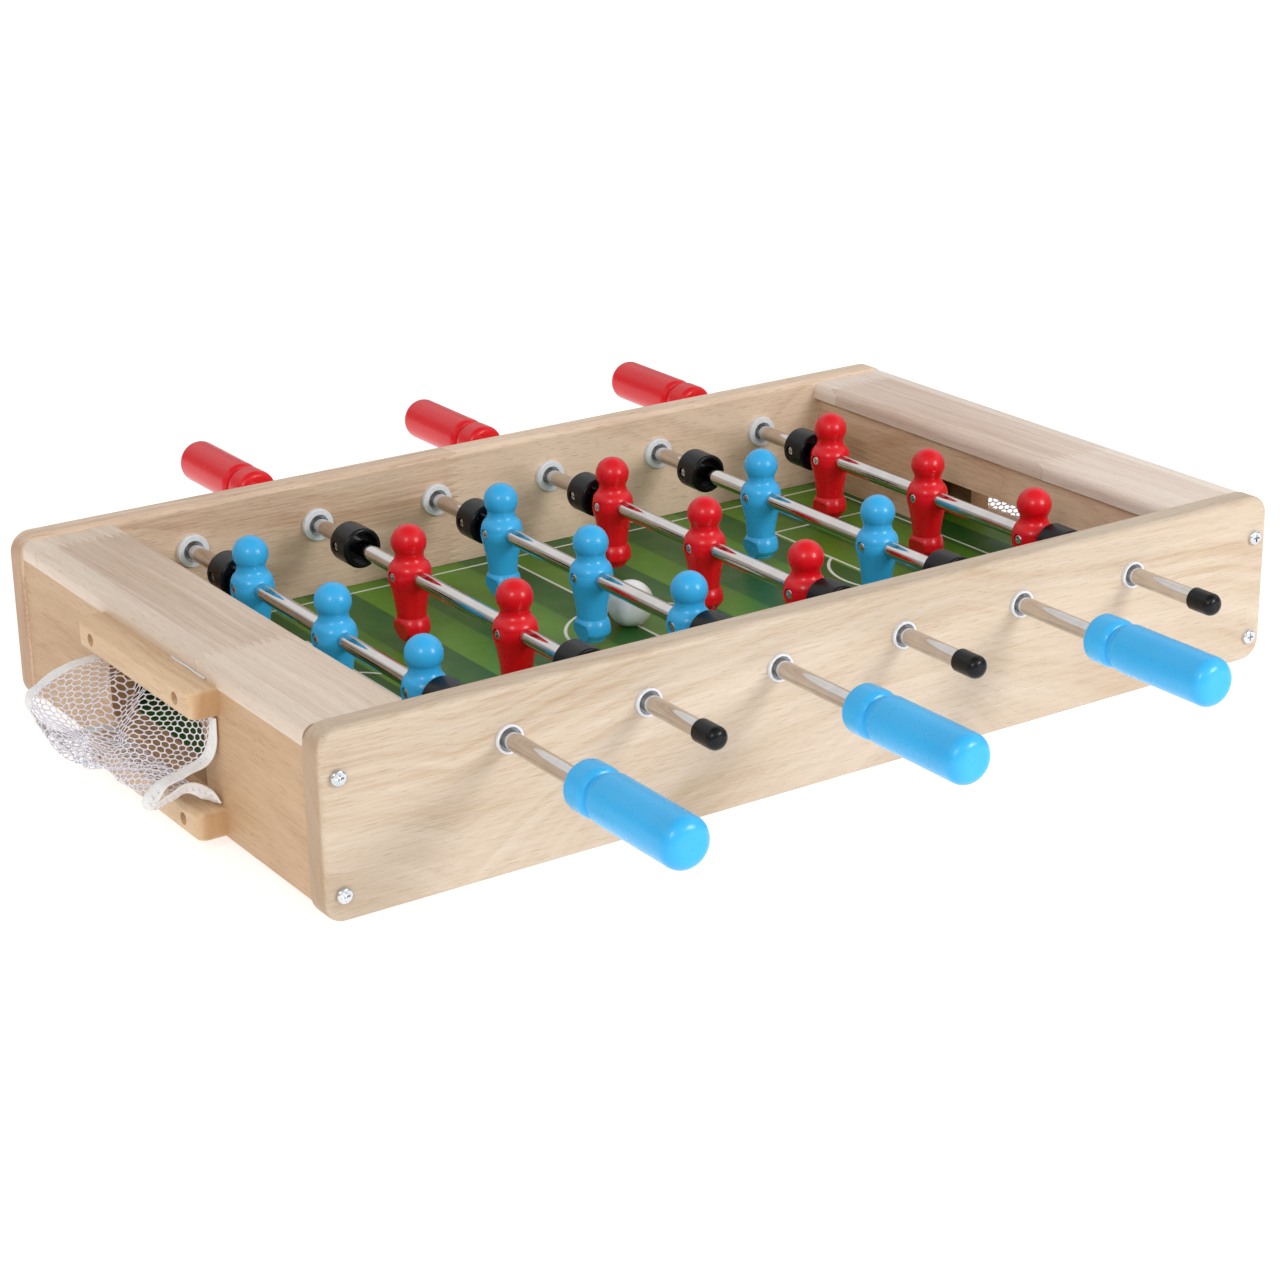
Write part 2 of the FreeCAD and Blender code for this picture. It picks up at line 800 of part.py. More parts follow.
def batten(name, side, low):
    """A square wooden bar outside one goal, rounded all over except where it lies on the board."""
    middle = (end_face + size.batten_section / 2) * side
    centre = size.batten_shift * side
    section = size.batten_section
    bar = box(name + "_bar", section, size.batten_length, section, middle, centre, low)
    bar = round_edges(
        name + "_ends",
        bar,
        size.batten_round,
        lambda e: abs(e.CenterOfMass.x) > batten_face.value - 0.01 and runs_along(e, VECTOR(0, 0, 1)),
    )
    bar = round_edges(
        name + "_edges",
        bar,
        size.batten_edge,
        lambda e: abs(e.CenterOfMass.x) > end_face.value + 0.01 and not runs_along(e, VECTOR(0, 0, 1)),
    )
    tools = []
    height = low + size.batten_section / 2
    sink = size.batten_screw_sink + 0.1
    shank_start = end_face if side > 0 else -batten_face
    head_start = batten_face - sink if side > 0 else -batten_face
    for number, edge in enumerate((-1, 1)):
        across = centre + size.batten_screw_reach * edge
        shank = size.batten_screw_shank / 2
        head = size.batten_screw_head / 2 + 0.05
        tools.append(rod_shape(f"{name}_hole_{number}", shank, section, shank_start, across, height, ALONG_X))
        tools.append(rod_shape(f"{name}_sink_{number}", head, sink, head_start, across, height, ALONG_X))
    return cut(name, bar, tools)


def net(name, side):
    """The net as a plain curved strip from the upper batten, outwards and back over the lower batten."""
    path = doc.addObject("Sketcher::SketchObject", name + "_path")
    path.Placement = FreeCAD.Placement(VECTOR(), FreeCAD.Rotation(VECTOR(1, 0, 0), 90))
    seam = end_face + size.net_gap
    rest = size.batten_low + size.batten_section
    corners = [
        (seam, size.batten_high),
        (seam, size.batten_high - size.net_drop),
        (end_face + size.net_bulge, size.net_middle, -size.net_crown),
        (end_face + size.net_fold_reach, size.net_fold_height, -size.net_fold_round),
        (end_face + size.net_arch_reach, size.net_arch_height),
        (seam, rest + size.net_skin, size.net_arch_round),
        (seam, rest),
    ]
    outline(path, corners, closed=False)
    strip = doc.addObject("Part::Offset2D", name + "_strip")
    strip.Source = path
    strip.Mode = "Skin"
    strip.Fill = True
    bind(strip, Value=size.net_skin)
    solid = doc.addObject("Part::Extrusion", name)
    solid.Base = strip
    solid.DirMode = "Custom"
    solid.Dir = VECTOR(0, 1, 0)
    solid.Symmetric = True
    solid.Solid = True
    bind(solid, LengthFwd=size.net_width)
    return place(solid, 0, size.batten_shift * side, 0, UPRIGHT if side > 0 else HALF_TURN)


def ball(name):
    """The ball, lying on the pitch."""
    solid = doc.addObject("Part::Sphere", name)
    radius = size.ball_diameter / 2
    bind(solid, Radius=radius)
    return place(solid, size.ball_along, size.ball_across, size.pitch_top + radius + 0.02)


def build_box():
    return [
        side_board("front_side_board", UPRIGHT, -1),
        side_board("back_side_board", HALF_TURN, 1),
        end_board("left_end_board", -1),
        end_board("right_end_board", 1),
        goal_board("left_goal_board", -1),
        goal_board("right_goal_board", 1),
        rail("left_end_rail", -1),
        rail("right_end_rail", 1),
        pitch("pitch_board"),
        frame_screws("frame_screws"),
    ]


def build_rods():
    nodes = []
    bushings = []
    for number, team, players, x, across in rod_places():
        way = -1 if team == "blue" else 1
        stem = f"{team}_rod_{number}"
        nodes.append(rod(stem, x, across, way))
        nodes.append(handle(f"{stem}_handle", x, across, way))
        nodes.append(end_cap(f"{stem}_end_cap", x, across, way))
        stops = [bumper(f"{stem}_bumper_{side + 2}", x, across, side) for side in (-1, 1)]
        nodes.append(group(f"{stem}_bumpers", stops))
        nodes.append(rod_screws(f"{stem}_screws", x, across, players))
        for place_number, spot in enumerate(player_spots(players), start=1):
            nodes.append(player(f"{stem}_player_{place_number}", x, across + spot))
        for side in (-1, 1):
            bushings.append(bushing(f"bushing_{number}_{side + 2}", x, side))
    nodes.append(group("rod_bushings", bushings))
    return nodes


def build_goals():
    bars = []
    for side in (-1, 1):
        for low in (size.batten_low, size.batten_high):
            bars.append(batten(f"bar_{len(bars)}", side, low))
    nets = [net("left_net", -1), net("right_net", 1)]
    return [group("net_battens", bars), group("goal_nets", nets), ball("ball")]


def check_document():
    """Stop if any object failed to compute."""
    for thing in doc.Objects:
        if "Invalid" in thing.State or "Error" in thing.State:
            raise RuntimeError(f"{thing.Label} failed: {thing.State}")


def export(nodes):
    """Write each sub-part to its own file, once every one of them is sound."""
    for node in nodes:
        if node.Shape.isNull() or not node.Shape.isValid():
            raise RuntimeError(f"{node.Label} has no valid shape")
    os.makedirs("parts", exist_ok=True)
    for node in nodes:
        node.Shape.exportStep(f"parts/{node.Label}.step")
        low, high = node.Shape.BoundBox.ZMin, node.Shape.BoundBox.ZMax
        print(f"{node.Label}: {len(node.Shape.Solids)} solids, z {low:.1f} to {high:.1f}")
    print(f"{len(nodes)} nodes")


nodes = build_box() + build_rods() + build_goals()
doc.recompute()
check_document()
export(nodes)
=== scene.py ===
import math

import bpy
import numpy as np
from mathutils import Matrix, Vector

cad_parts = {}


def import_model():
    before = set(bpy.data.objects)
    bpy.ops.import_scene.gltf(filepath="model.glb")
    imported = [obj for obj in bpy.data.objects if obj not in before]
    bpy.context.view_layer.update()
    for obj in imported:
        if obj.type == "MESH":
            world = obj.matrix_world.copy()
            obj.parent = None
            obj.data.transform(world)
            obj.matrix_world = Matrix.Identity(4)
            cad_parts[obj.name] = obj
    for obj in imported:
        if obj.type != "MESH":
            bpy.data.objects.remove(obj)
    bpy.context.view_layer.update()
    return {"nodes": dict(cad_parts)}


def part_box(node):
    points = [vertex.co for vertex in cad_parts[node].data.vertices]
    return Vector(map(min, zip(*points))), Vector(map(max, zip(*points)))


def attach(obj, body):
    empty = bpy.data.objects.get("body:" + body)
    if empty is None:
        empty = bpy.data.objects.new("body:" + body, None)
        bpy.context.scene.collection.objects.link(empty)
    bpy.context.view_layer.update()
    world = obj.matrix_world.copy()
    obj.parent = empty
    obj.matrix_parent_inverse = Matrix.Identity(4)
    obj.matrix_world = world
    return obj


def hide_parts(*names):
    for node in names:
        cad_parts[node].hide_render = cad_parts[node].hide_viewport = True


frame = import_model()

# Tabletop football game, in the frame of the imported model: +X along the table, +Y across it towards the back,
# +Z up, the floor at z = 0. The scene is in metres. The materials and nets are worked out in millimetres.

MM = 0.001
NODES = frame["nodes"]
X, Y, Z = 0, 1, 2


def srgb(red, green, blue):
    """A colour given as 0 to 255 display values, as the linear numbers that a shader takes."""
    parts = [c / 255 for c in (red, green, blue)]
    linear = [c / 12.92 if c <= 0.04045 else ((c + 0.055) / 1.055) ** 2.4 for c in parts]
    return (*linear, 1.0)


def grey(level):
    return (level, level, level, 1.0)


def shaded(colour, red, green, blue):
    """A colour with its red, green and blue each multiplied."""
    return (colour[0] * red, colour[1] * green, colour[2] * blue, 1.0)


# ---------------------------------------------------------------- colours and sizes

BLUE = srgb(51, 171, 230), srgb(55, 175, 234), srgb(59, 180, 238)
RED = srgb(216, 9, 24), srgb(222, 11, 27), srgb(227, 15, 30)
CHROME_DULL, CHROME_PALE = (0.57, 0.54, 0.52, 1), (0.66, 0.63, 0.61, 1)
ZINC_DULL, ZINC_PALE = (0.60, 0.62, 0.65, 1), (0.84, 0.87, 0.90, 1)
RUBBER_DARK, RUBBER_BLOOM = (0.0045, 0.0045, 0.005, 1), (0.009, 0.009, 0.010, 1)
RUBBER_SCUFF = (0.02, 0.02, 0.021, 1)
NYLON_DULL, NYLON_PALE = srgb(216, 219, 224), srgb(228, 230, 233)
BALL_DULL, BALL_WHITE = srgb(238, 238, 238), srgb(250, 250, 250)
THREAD_DULL, THREAD_PALE, THREAD_TWIST = srgb(228, 225, 235), srgb(239, 236, 245), srgb(222, 220, 222)
# the hem tape's dull and pale tones, and a darker colour that is painted shade in the hollows of its weave
TAPE_DULL, TAPE_PALE, TAPE_HOLLOW_SHADE = srgb(232, 230, 228), srgb(243, 242, 240), srgb(206, 202, 200)

GRASS_DARK, GRASS_MIDDLE, GRASS_PALE = srgb(44, 96, 40), srgb(68, 115, 36), srgb(97, 144, 38)
LINE_WHITE = srgb(236, 238, 226)
FIBRE_DARK, FIBRE_PALE = srgb(150, 118, 84), srgb(186, 156, 118)

# each wood's pale and deep tone
FRONT_TONES = srgb(213, 197, 178), srgb(181, 154, 124)
BACK_TONES = srgb(232, 206, 180), srgb(184, 147, 117)
RAIL_TONES = {
    "left": (srgb(234, 218, 200), srgb(199, 172, 149)),
    "right": (srgb(246, 232, 219), srgb(214, 187, 168)),
}
END_TONES = srgb(208, 174, 136), srgb(179, 139, 100)
GOAL_TONES = srgb(247, 218, 190), srgb(207, 166, 132)
BATTEN_TONES = srgb(226, 196, 158), srgb(200, 162, 120)

# finger joints: half a finger's width, and how far it reaches along the grain for each mm of that
FINGER_HALF, FINGER_SLOPE = 1.9, 4.2
# how far along and across the tree the staves are from each other, where the tree leans back, and how far its
# middle wanders
STAVE_JUMP, STAVE_SHIFT, LEAN_TURN, WANDER = 900.0, 50.0, 260.0, 26.0
# the stave beyond a lengthwise seam: what its number grows by, and how much paler it is
EDGE_STAVE, EDGE_PALER = 17.0, 0.30
RAIL_JOINTS = ((-48.5, 0.26), (118.0, -0.2))
RAIL_EDGE = 243.0

# the pitch's print: where the middles of its lines run, and how far a line runs past the one it meets
STRIPE = 22.2
GOAL_LINE, TOUCH_LINE = 204.0, 128.5
AREA_LINE, AREA_SIDE = 135.7, 81.1
CIRCLE_RADIUS, ARC_CENTRE = 38.3, 157.9
GOAL_LINE_OVERRUN, OVERRUN = 0.6, 0.7
LINE_CORE, LINE_RIM = 0.65, 0.95  # half widths, where the ink is full and where it ends
LEFT_SHIFT = 3.5  # how much further out the left half's marks are than the right half's

FLOOR_DULL, FLOOR_PALE, FLOOR_GLOW = 0.58, 0.61, 0.66
# the studio's brightness against the sine of the height: dim walls, a bright band, and a dim ceiling
SKY = ((0.0, 0.42), (0.30, 0.42), (0.47, 1.0), (0.72, 0.96), (0.88, 0.42), (1.0, 0.36))


def fill_ramp(ramp, stops):
    while len(ramp.elements) < len(stops):
        ramp.elements.new(0.5)
    for element, (position, colour) in zip(ramp.elements, stops):
        element.position = position
        element.color = colour


class Paint:
    """A material, and short ways to add nodes to it. place is the object's own coordinates in mm."""

    def __init__(self, name, **sockets):
        self.material = bpy.data.materials.new(name)
        self.material.use_nodes = True
        self.tree = self.material.node_tree
        self.shader = self.tree.nodes["Principled BSDF"]
        for socket, value in sockets.items():
            self.shader.inputs[socket.replace("_", " ")].default_value = value
        source = self.tree.nodes.new("ShaderNodeTexCoord")
        self.normal = source.outputs["Normal"]
        to_mm = self.tree.nodes.new("ShaderNodeVectorMath")
        to_mm.operation = "MULTIPLY"
        self.put(source.outputs["Object"], to_mm.inputs[0])
        self.put((1 / MM, 1 / MM, 1 / MM), to_mm.inputs[1])
        self.place = to_mm.outputs[0]

    def put(self, value, socket):
        """Links a socket's value, or sets a plain one."""
        if isinstance(value, bpy.types.NodeSocket):
            self.tree.links.new(value, socket)
        else:
            socket.default_value = value

    def math(self, operation, a, b=0.0, clamp=False):
        node = self.tree.nodes.new("ShaderNodeMath")
        node.operation = operation
        node.use_clamp = clamp
        self.put(a, node.inputs[0])
        self.put(b, node.inputs[1])
        return node.outputs[0]

    def add(self, a, b):
        return self.math("ADD", a, b)

    def minus(self, a, b):
        return self.math("SUBTRACT", a, b)

    def times(self, a, b):
        return self.math("MULTIPLY", a, b)

    def size(self, value):
        """A value without its sign."""
        return self.math("ABSOLUTE", value)

    def around(self, value, share):
        """How far a noise is from its middle, times share."""
        return self.times(self.minus(value, 0.5), share)

    def length(self, a, b):
        """The hypotenuse of two values."""
        return self.math("SQRT", self.add(self.times(a, a), self.times(b, b)))

    def split(self, vector):
        node = self.tree.nodes.new("ShaderNodeSeparateXYZ")
        self.put(vector, node.inputs[0])
        return list(node.outputs)

    def join(self, x, y, z):
        node = self.tree.nodes.new("ShaderNodeCombineXYZ")
        for value, socket in zip((x, y, z), node.inputs):
            self.put(value, socket)
        return node.outputs[0]

    def stretch(self, parts, scales):
        """Coordinates with each part multiplied by its scale."""
        return self.join(*[self.times(part, scale) for part, scale in zip(parts, scales)])

    def noise(self, vector, scale=1.0, detail=2.0, roughness=0.5):
        node = self.tree.nodes.new("ShaderNodeTexNoise")
        self.put(vector, node.inputs["Vector"])
        node.inputs["Scale"].default_value = scale
        node.inputs["Detail"].default_value = detail
        node.inputs["Roughness"].default_value = roughness
        return node.outputs[0]

    def chance(self, value):
        """A random number from 0 to 1 that depends only on value."""
        node = self.tree.nodes.new("ShaderNodeTexWhiteNoise")
        node.noise_dimensions = "1D"
        self.put(value, node.inputs["W"])
        return node.outputs["Value"]

    def step(self, value, low, high, start=0.0, end=1.0):
        """A smooth step from start to end while value goes from low to high."""
        node = self.tree.nodes.new("ShaderNodeMapRange")
        node.interpolation_type = "SMOOTHSTEP"
        self.put(value, node.inputs[0])
        for number, socket in zip((low, high, start, end), node.inputs[1:5]):
            self.put(number, socket)
        return node.outputs[0]

    def mix(self, factor, a, b):
        node = self.tree.nodes.new("ShaderNodeMix")
        node.data_type = "RGBA"
        self.put(factor, node.inputs[0])
        self.put(a, node.inputs[6])
        self.put(b, node.inputs[7])
        return node.outputs[2]

    def ramp(self, value, stops):
        node = self.tree.nodes.new("ShaderNodeValToRGB")
        self.put(value, node.inputs[0])
        fill_ramp(node.color_ramp, stops)
        return node.outputs[0]

    def bump(self, height, depth, strength):
        """Raises the surface by depth mm where height is 1."""
        node = self.tree.nodes.new("ShaderNodeBump")
        node.inputs["Strength"].default_value = strength
        node.inputs["Distance"].default_value = depth * MM
        self.put(height, node.inputs["Height"])
        self.put(node.outputs[0], self.shader.inputs["Normal"])

    def finish(self, colour, roughness):
        self.put(colour, self.shader.inputs["Base Color"])
        self.put(roughness, self.shader.inputs["Roughness"])
        return self.material


# ---------------------------------------------------------------- materials


def wood(name, along, across, seed, tones, heart, tilt, joints=(), edge=None, streaks=1.0):
    """Lacquered rubberwood. along and across are the axes of the grain and of the board's width.

    heart is how far the tree's middle is from the board's face, and tilt how fast it leans into the board,
    so a small heart with some tilt gives arched grain. joints are (place, tone) pairs, where finger joints
    cross the grain and how much deeper the next stave is. edge is where a paler stave begins across the
    grain, and streaks is how strong the figure is.
    """
    pale, deep = tones
    between = tuple(p * 0.55 + q * 0.45 for p, q in zip(pale, deep))
    darkest = shaded(deep, 0.82, 0.77, 0.71)
    pore_brown = shaded(deep, 0.62, 0.53, 0.45)
    end_pale = shaded(deep, 1.02, 0.88, 0.74)
    paint = Paint(name, Specular_IOR_Level=0.4, Coat_Weight=0.1, Coat_Roughness=0.35)
    parts = paint.split(paint.place)
    depth_axis = ({X, Y, Z} - {along, across}).pop()
    a, w, d = parts[along], parts[across], parts[depth_axis]

    # the staves, each with its own number and tone, and the thin dark seams between them
    stave, tone, seams = seed, 0.40, []
    finger = paint.math("PINGPONG", w, FINGER_HALF)
    for place, deeper in joints:
        reach = paint.add(paint.times(finger, FINGER_SLOPE), place)
        past = paint.math("GREATER_THAN", a, reach)
        stave = paint.add(stave, past)
        tone = paint.add(tone, paint.times(past, deeper))
        seams.append(paint.step(paint.size(paint.minus(a, reach)), 0.1, 0.6, 0.34, 0.0))
    if edge is not None:
        past = paint.math("GREATER_THAN" if edge > 0 else "LESS_THAN", w, edge)
        stave = paint.add(stave, paint.times(past, EDGE_STAVE))
        tone = paint.minus(tone, paint.times(past, EDGE_PALER))
        seams.append(paint.step(paint.size(paint.minus(w, edge)), 0.15, 0.5, 0.2, 0.0))

    # the growth rings, round a line that wanders and leans into the board. Each stave comes from elsewhere in
    # the tree
    luck = paint.chance(stave)
    a = paint.add(a, paint.times(luck, STAVE_JUMP))
    shifted = paint.add(w, paint.around(luck, STAVE_SHIFT))
    wander = paint.noise(paint.join(paint.times(a, 0.006), seed * 3.7, luck))
    lean = paint.add(paint.times(paint.math("PINGPONG", a, LEAN_TURN), tilt), heart)
    lean = paint.add(paint.add(lean, paint.times(wander, WANDER)), d)
    rings = paint.length(shifted, lean)
    ringed = paint.join(paint.times(rings, 0.30), paint.times(a, 0.0035), luck)
    bands = paint.noise(ringed, 1.0, 5.0, 0.64)

    def stretched(along_scale, across_scale, detail, roughness):
        """Noise drawn out along the grain."""
        scales = (along_scale, across_scale, across_scale)
        return paint.noise(paint.stretch((a, w, d), scales), 1.0, detail, roughness)

    fibre = stretched(0.020, 0.62, 5.0, 0.62)
    threads = stretched(0.035, 1.9, 3.0, 0.6)
    pores = paint.step(stretched(0.13, 2.1, 2.0, 0.55), 0.56, 0.72)
    patch = stretched(0.008, 0.022, 2.0, 0.5)
    for value, share in ((bands, 1.45), (fibre, 0.75), (threads, 0.5), (patch, 0.7)):
        tone = paint.add(tone, paint.around(value, share * streaks))
    tone = paint.math("ADD", tone, 0.0, clamp=True)
    colour = paint.ramp(tone, [(0.0, pale), (0.45, between), (0.8, deep), (1.0, darkest)])
    colour = paint.mix(paint.times(pores, 0.40 * streaks), colour, pore_brown)
    for seam in seams:
        colour = paint.mix(seam, colour, pore_brown)

    # the board's cut ends
    facing = paint.size(paint.split(paint.normal)[along])
    cut = paint.step(facing, 0.55, 0.97)
    end_colour = paint.ramp(paint.noise(paint.place, 1.6, 3.0, 0.6), [(0.3, end_pale), (0.7, darkest)])
    colour = paint.mix(paint.times(cut, 0.7), colour, end_colour)
    paint.bump(paint.minus(paint.times(threads, 0.5), paint.times(pores, 0.9)), 0.06, 0.5)
    return paint.finish(colour, paint.add(0.42, paint.times(paint.add(pores, fibre), 0.12)))


def pitch(name):
    """The printed board: mown stripes, white lines, and bare fibreboard at its cut sides."""
    paint = Paint(name, Specular_IOR_Level=0.2, Coat_Weight=0.03, Coat_Roughness=0.3)
    x, y, _ = paint.split(paint.place)
    ay = paint.size(y)
    left = paint.times(paint.math("LESS_THAN", x, 0.0), LEFT_SHIFT)
    marked = paint.minus(paint.size(x), left)

    # the stripes, each paler towards one side, with blades of grass and worn patches
    soft = 0.5
    wobble = paint.around(paint.noise(paint.place, 0.25, 1.0), soft)
    wave = paint.math("PINGPONG", paint.add(paint.add(x, wobble), -STRIPE / 2 + 20 * STRIPE), STRIPE)
    bright = paint.minus(1.0, paint.step(wave, STRIPE / 2 - soft, STRIPE / 2 + soft))
    across = paint.math("FRACT", paint.math("DIVIDE", paint.add(x, 40 * STRIPE), STRIPE))
    fade = paint.times(paint.minus(0.5, across), 0.55)
    blades = paint.noise(paint.join(paint.times(x, 0.9), paint.times(y, 0.12), 0.0), 1.0, 4.0, 0.65)
    patches = paint.noise(paint.place, 0.018, 3.0)
    level = paint.add(bright, paint.times(fade, 0.8))
    level = paint.add(level, paint.around(blades, 0.5))
    level = paint.add(level, paint.around(patches, 0.5))
    level = paint.step(level, -0.3, 1.4)
    colour = paint.ramp(level, [(0.0, GRASS_DARK), (0.5, GRASS_MIDDLE), (1.0, GRASS_PALE)])

    def below(value, limit):
        return paint.math("LESS_THAN", value, limit)

    def line(distance):
        """1 where distance is within half a line's width."""
        return paint.step(paint.size(distance), LINE_CORE, LINE_RIM, 1.0, 0.0)

    field_end = GOAL_LINE + GOAL_LINE_OVERRUN
    field = paint.times(below(marked, field_end), below(ay, TOUCH_LINE + OVERRUN))
    beyond = paint.times(paint.math("GREATER_THAN", marked, AREA_LINE - OVERRUN), below(marked, field_end))
    from_arc = paint.length(paint.minus(marked, ARC_CENTRE), y)
    lines = [
        paint.times(line(paint.minus(ay, TOUCH_LINE)), field),
        paint.times(line(paint.minus(marked, GOAL_LINE)), field),
        paint.times(line(x), field),
        line(paint.minus(paint.length(x, y), CIRCLE_RADIUS)),
        paint.times(line(paint.minus(marked, AREA_LINE)), below(ay, AREA_SIDE + OVERRUN)),
        paint.times(line(paint.minus(ay, AREA_SIDE)), beyond),
        paint.times(line(paint.minus(from_arc, CIRCLE_RADIUS)), below(marked, AREA_LINE)),
    ]
    ink = lines[0]
    for other in lines[1:]:
        ink = paint.math("MAXIMUM", ink, other)
    ink = paint.times(ink, paint.step(paint.noise(paint.place, 1.3, 2.0), 0.25, 0.45, 0.75, 0.92))
    colour = paint.mix(ink, colour, LINE_WHITE)
    fibres = paint.ramp(paint.noise(paint.place, 1.1, 3.0), [(0.3, FIBRE_DARK), (0.7, FIBRE_PALE)])
    colour = paint.mix(paint.step(paint.split(paint.normal)[Z], 0.4, 0.6), fibres, colour)
    paint.bump(paint.noise(paint.place, 2.2, 3.0, 0.6), 0.03, 0.5)
    return paint.finish(colour, paint.step(paint.noise(paint.place, 0.08, 3.0), 0.3, 0.7, 0.30, 0.42))


def lacquer(name, shades):
    """Glossy paint over turned wood: faint orange peel and slightly uneven cover."""
    paint = Paint(name, Specular_IOR_Level=0.3, Coat_Weight=0.2, Coat_Roughness=0.18, Coat_IOR=1.45)
    cover = paint.noise(paint.place, 0.035, 3.0, 0.5)
    colour = paint.ramp(cover, list(zip((0.25, 0.5, 0.8), shades)))
    paint.bump(paint.noise(paint.place, 0.30, 2.0, 0.5), 0.02, 0.12)
    return paint.finish(colour, paint.step(paint.noise(paint.place, 0.3, 3.0), 0.3, 0.7, 0.27, 0.31))


def metal(name, dull, pale, smooth, coarse, streak):
    """Plated steel, from smooth to coarse roughness. streak is how fine its marks are along Y."""
    paint = Paint(name, Metallic=1.0)
    marks = paint.noise(paint.stretch(paint.split(paint.place), (0.35, streak, 0.35)), 1.0, 4.0, 0.65)
    cloud = paint.noise(paint.place, 0.12, 3.0)
    colour = paint.ramp(cloud, [(0.25, dull), (0.75, pale)])
    scratched = paint.step(marks, 0.3, 0.75, smooth, coarse)
    clouded = paint.step(cloud, 0.35, 0.75, 0.0, (coarse - smooth) * 0.6)
    paint.bump(marks, 0.012, 0.4)
    return paint.finish(colour, paint.add(scratched, clouded))


def rubber(name):
    """Satin black moulding with a fine bloom and a few lighter scuffs."""
    paint = Paint(name, Specular_IOR_Level=0.22)
    bloom = paint.noise(paint.place, 0.2, 4.0, 0.6)
    scuffs = paint.step(paint.noise(paint.place, 0.9, 4.0, 0.7), 0.62, 0.78)
    colour = paint.ramp(bloom, [(0.3, RUBBER_DARK), (0.8, RUBBER_BLOOM)])
    colour = paint.mix(paint.times(scuffs, 0.2), colour, RUBBER_SCUFF)
    paint.bump(paint.noise(paint.place, 4.0, 2.0, 0.5), 0.02, 0.2)
    return paint.finish(colour, paint.add(paint.step(bloom, 0.3, 0.8, 0.22, 0.32), paint.times(scuffs, 0.15)))


def nylon(name):
    """Milky natural nylon with flow marks from the mould."""
    paint = Paint(name, Specular_IOR_Level=0.5, Subsurface_Weight=0.35, Subsurface_Scale=0.0015)
    paint.shader.inputs["Subsurface Radius"].default_value = (1.0, 1.0, 1.0)
    flow = paint.noise(paint.place, 0.5, 3.0, 0.6)
    colour = paint.ramp(flow, [(0.3, NYLON_DULL), (0.7, NYLON_PALE)])
    paint.bump(paint.noise(paint.place, 1.5, 3.0), 0.02, 0.3)
    return paint.finish(colour, paint.step(flow, 0.3, 0.7, 0.28, 0.42))


def ball_plastic(name, centre):
    """White moulded ball with a fine matt grain and the faint parting line of its mould, at height centre."""
    paint = Paint(name, Specular_IOR_Level=0.45, Subsurface_Weight=0.15, Subsurface_Scale=0.002)
    grain = paint.noise(paint.place, 1.8, 3.0, 0.6)
    smudge = paint.noise(paint.place, 0.14, 4.0, 0.6)
    colour = paint.ramp(smudge, [(0.3, BALL_DULL), (0.6, BALL_WHITE)])
    off = paint.size(paint.minus(paint.split(paint.place)[Z], centre))
    parting = paint.step(off, 0.0, 0.22, 1.0, 0.0)
    paint.bump(paint.add(paint.times(grain, 0.3), parting), 0.05, 0.5)
    return paint.finish(colour, paint.step(smudge, 0.3, 0.7, 0.34, 0.46))


def mesh_thread(name):
    """Knitted polyester thread with a fine twist."""
    paint = Paint(name, Specular_IOR_Level=0.3, Sheen_Weight=0.25, Sheen_Roughness=0.5)
    twist = paint.noise(paint.place, 3.2, 3.0, 0.6)
    soil = paint.noise(paint.place, 0.06, 3.0)
    colour = paint.ramp(soil, [(0.3, THREAD_DULL), (0.6, THREAD_PALE)])
    colour = paint.mix(paint.step(twist, 0.35, 0.7, 0.0, 0.08), colour, THREAD_TWIST)
    paint.bump(twist, 0.08, 0.4)
    return paint.finish(colour, paint.step(twist, 0.3, 0.7, 0.62, 0.8))


def tape_cotton(name):
    """Woven cotton tape: fine ribs both ways, with painted shade in the hollows between them, and a few slubs.
    """
    rib = 0.22
    paint = Paint(name, Specular_IOR_Level=0.25, Sheen_Weight=0.3, Sheen_Roughness=0.5)
    x, y, z = paint.split(paint.place)
    warp = paint.math("PINGPONG", paint.add(paint.add(x, z), y), rib)
    weft = paint.math("PINGPONG", paint.minus(paint.add(x, z), y), rib)
    weave = paint.times(paint.add(warp, weft), 2.2)
    slub = paint.noise(paint.place, 0.5, 4.0, 0.6)
    colour = paint.ramp(slub, [(0.3, TAPE_DULL), (0.65, TAPE_PALE)])
    # painted shade: where the weave is lowest, in its hollows, the colour is mixed towards a darker one
    colour = paint.mix(paint.step(weave, 0.2, 0.6, 0.14, 0.0), colour, TAPE_HOLLOW_SHADE)
    paint.bump(paint.add(weave, paint.times(slub, 0.6)), 0.10, 0.5)
    return paint.finish(colour, paint.step(slub, 0.3, 0.7, 0.7, 0.86))


def floor_white(name):
    """Plain pale floor that glows a little, with a trace of unevenness."""
    paint = Paint(name, Specular_IOR_Level=0.1, Emission_Color=grey(1.0), Emission_Strength=FLOOR_GLOW)
    cloud = paint.noise(paint.place, 0.002, 2.0)
    colour = paint.ramp(cloud, [(0.3, grey(FLOOR_DULL)), (0.7, grey(FLOOR_PALE))])
    return paint.finish(colour, 0.9)


def dress(node, material):
    """Gives a CAD node its material."""
    mesh = NODES[node].data
    mesh.materials.clear()
    mesh.materials.append(material)


blue = lacquer("blue_gloss", BLUE)
red = lacquer("red_gloss", RED)
chrome = metal("chrome_plate", CHROME_DULL, CHROME_PALE, 0.05, 0.10, 2.2)
zinc = metal("zinc_plate", ZINC_DULL, ZINC_PALE, 0.12, 0.24, 0.35)
black = rubber("black_rubber")
milky = nylon("milky_nylon")

